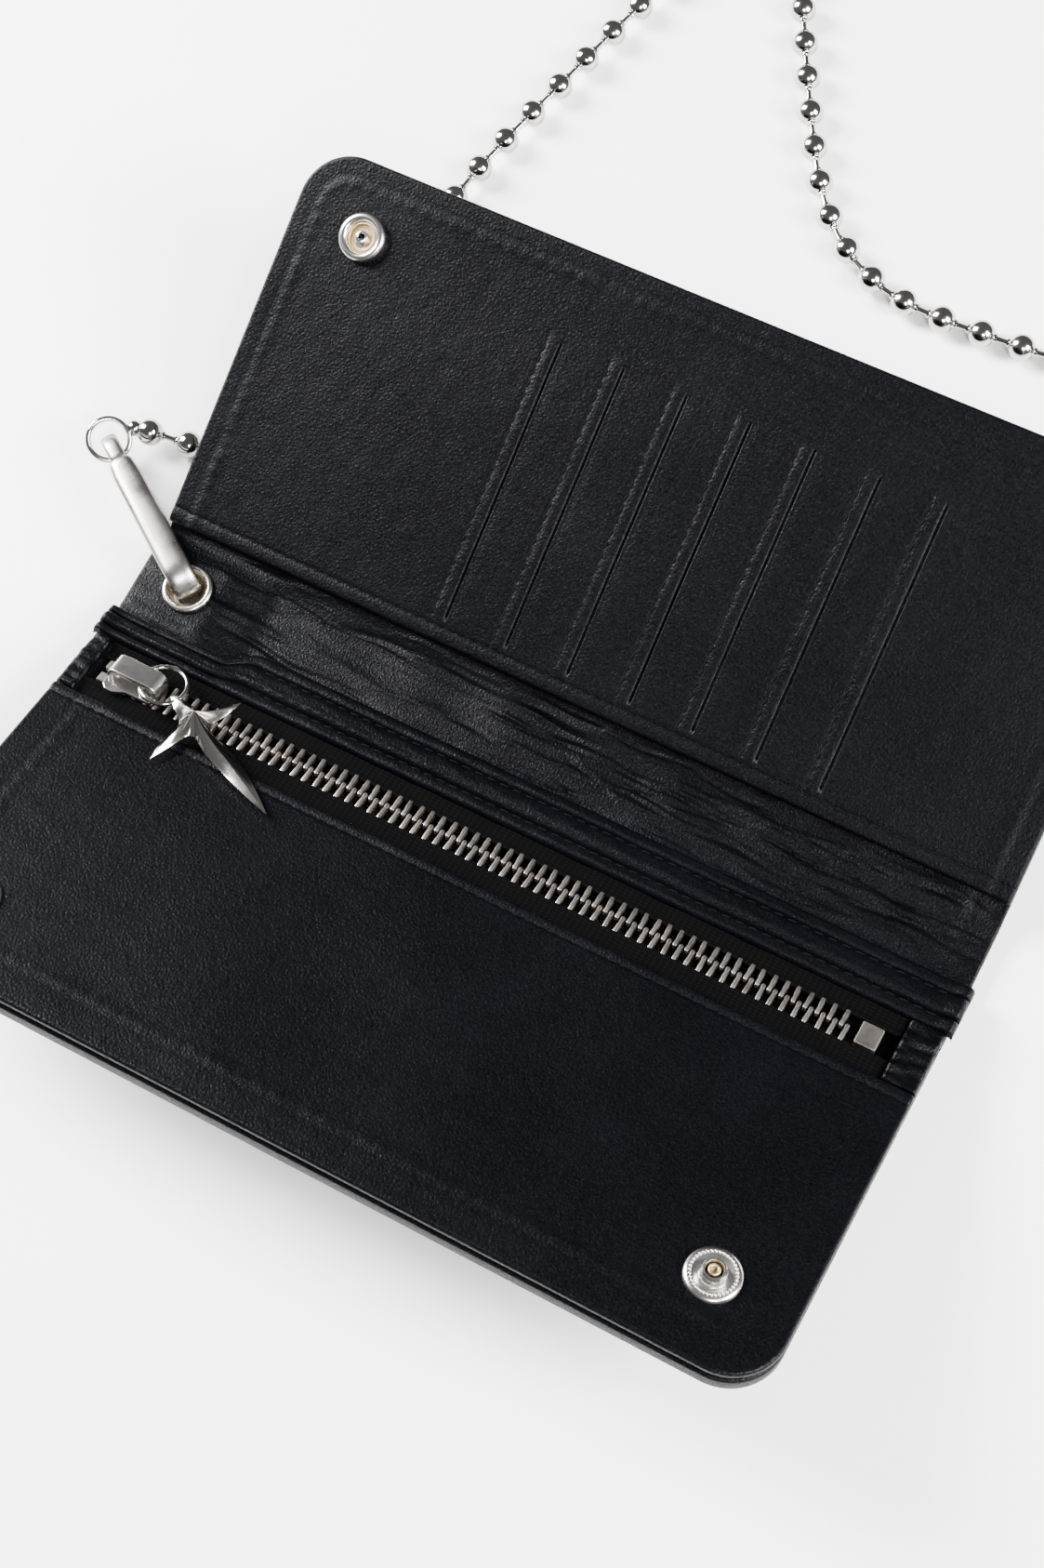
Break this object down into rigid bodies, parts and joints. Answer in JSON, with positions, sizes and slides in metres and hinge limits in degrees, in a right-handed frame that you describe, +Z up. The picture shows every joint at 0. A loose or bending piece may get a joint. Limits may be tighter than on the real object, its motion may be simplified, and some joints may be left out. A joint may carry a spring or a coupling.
{
  "type": "chain wallet",
  "caption": "Long bifold leather wallet lying open, with snaps, card slits, a zipped coin pocket with a star charm, and a ball chain with a spring ring and belt clasp.",
  "frame": {"origin": "on the surface the wallet lies on, under the middle of its spine", "axes": "+X along the spine, +Y from the coin side to the card side, +Z up"},
  "size_m": [0.22, 0.2994, 0.0398],
  "materials": {
    "leather": "fine-grained satin",
    "lining": "thin creased satin",
    "foam": "soft padding",
    "tape": "woven matt",
    "steel": "worn nickel plate",
    "chrome": "polished",
    "chain": "polished nickel plate",
    "brass": "antique plate"
  },
  "bodies": {
    "spine": {"spine_cover": "leather", "spine_lining": "lining", "eyelet": "steel", "eyelet_washer": "steel", "ball_chain": "chain", "clasp_coupling": "chain", "clasp_swivel": "steel"},
    "card_panel": {"card_cover": "leather", "card_padding": "foam", "bill_pocket_lining": "lining", "card_facing": "leather", "card_pocket_1": "lining", "card_pocket_2": "lining", "card_pocket_3": "lining", "card_pocket_4": "lining", "card_pocket_5": "lining", "card_pocket_6": "lining", "card_pocket_7": "lining", "snap_socket_left": "steel", "snap_socket_right": "steel", "snap_cap_left": "steel", "snap_cap_right": "steel"},
    "coin_panel": {"coin_cover": "leather", "coin_padding": "foam", "coin_pocket_back": "lining", "coin_gusset": "lining", "coin_front": "leather", "coin_top_band": "leather", "zip_end_left": "leather", "zip_end_right": "leather", "zip_tape_upper": "tape", "zip_tape_lower": "tape", "zip_teeth_upper": "brass", "zip_teeth_lower": "brass", "zip_bottom_stop": "steel", "zip_top_stop_upper": "steel", "zip_top_stop_lower": "steel", "snap_stud_left": "steel", "snap_stud_right": "steel", "stud_post_left": "brass", "stud_post_right": "brass"},
    "slider": {"slider_top_plate": "steel", "slider_bottom_plate": "steel", "slider_crown": "steel"},
    "pull": {"pull_ring": "steel"},
    "charm": {"star_charm": "chrome"},
    "spring_ring": {"ring_body": "steel", "ring_bow": "steel", "ring_gate_pin": "steel"},
    "spring_ring_gate": {"ring_gate": "steel"},
    "chain_end": {"jump_ring": "steel", "chain_coupling": "chain"},
    "clasp": {"clasp_frame": "steel"},
    "clasp_lever": {"clasp_gate": "steel"}
  },
  "joints": [
    {"name": "card_fold", "type": "hinge", "parent": "spine", "child": "card_panel", "pos_m": [0, 0.0085, 0.0009], "axis": [1, 0, 0], "range_deg": [0, 66.5]},
    {"name": "coin_fold", "type": "hinge", "parent": "spine", "child": "coin_panel", "pos_m": [0, -0.0085, 0.0009], "axis": [-1, 0, 0], "range_deg": [-19, 69.5]},
    {"name": "zip_slide", "type": "slide", "parent": "coin_panel", "child": "slider", "axis": [1, 0, 0], "range_m": [0, 0.155]},
    {"name": "pull_hinge", "type": "hinge", "parent": "slider", "child": "pull", "pos_m": [-0.08015, -0.02034, 0.01278], "axis": [0, 0.9438, -0.3305], "range_deg": [-28, 0]},
    {"name": "charm_hinge", "type": "hinge", "parent": "pull", "child": "charm", "pos_m": [-0.07098, -0.02242, 0.01351], "axis": [0.454, 0.8409, -0.2945], "range_deg": [-35, 0]},
    {"name": "ring_swivel", "type": "hinge", "parent": "spine", "child": "spring_ring", "pos_m": [-0.0845, 0.002, 0], "axis": [0, 0, 1], "range_deg": [0, 35]},
    {"name": "gate_hinge", "type": "hinge", "parent": "spring_ring", "child": "spring_ring_gate", "pos_m": [-0.11135, 0.02031, 0.0011], "axis": [-0.5635, -0.8261, 0], "range_deg": [0, 15], "stiffness_Nm_per_rad": 0.05, "springref_deg": -11.46},
    {"name": "jump_ring_hinge", "type": "hinge", "parent": "spring_ring", "child": "chain_end", "pos_m": [-0.11498, 0.02279, 0.00356], "axis": [0.5635, 0.8261, 0], "range_deg": [0, 14]},
    {"name": "clasp_swivel_turn", "type": "hinge", "parent": "spine", "child": "clasp", "pos_m": [0.07997, 0.1592, 0.00278], "axis": [-0.1436, 0.9896, 0], "continuous": true},
    {"name": "clasp_lever_hinge", "type": "hinge", "parent": "clasp", "child": "clasp_lever", "pos_m": [0.08075, 0.18862, 0.00278], "axis": [0, 0, -1], "range_deg": [0, 14], "stiffness_Nm_per_rad": 0.05, "springref_deg": -11.46}
  ],
  "couplings": [
    {"joint": "ring_swivel", "follows": "card_fold", "ratio": 0.5}
  ]
}
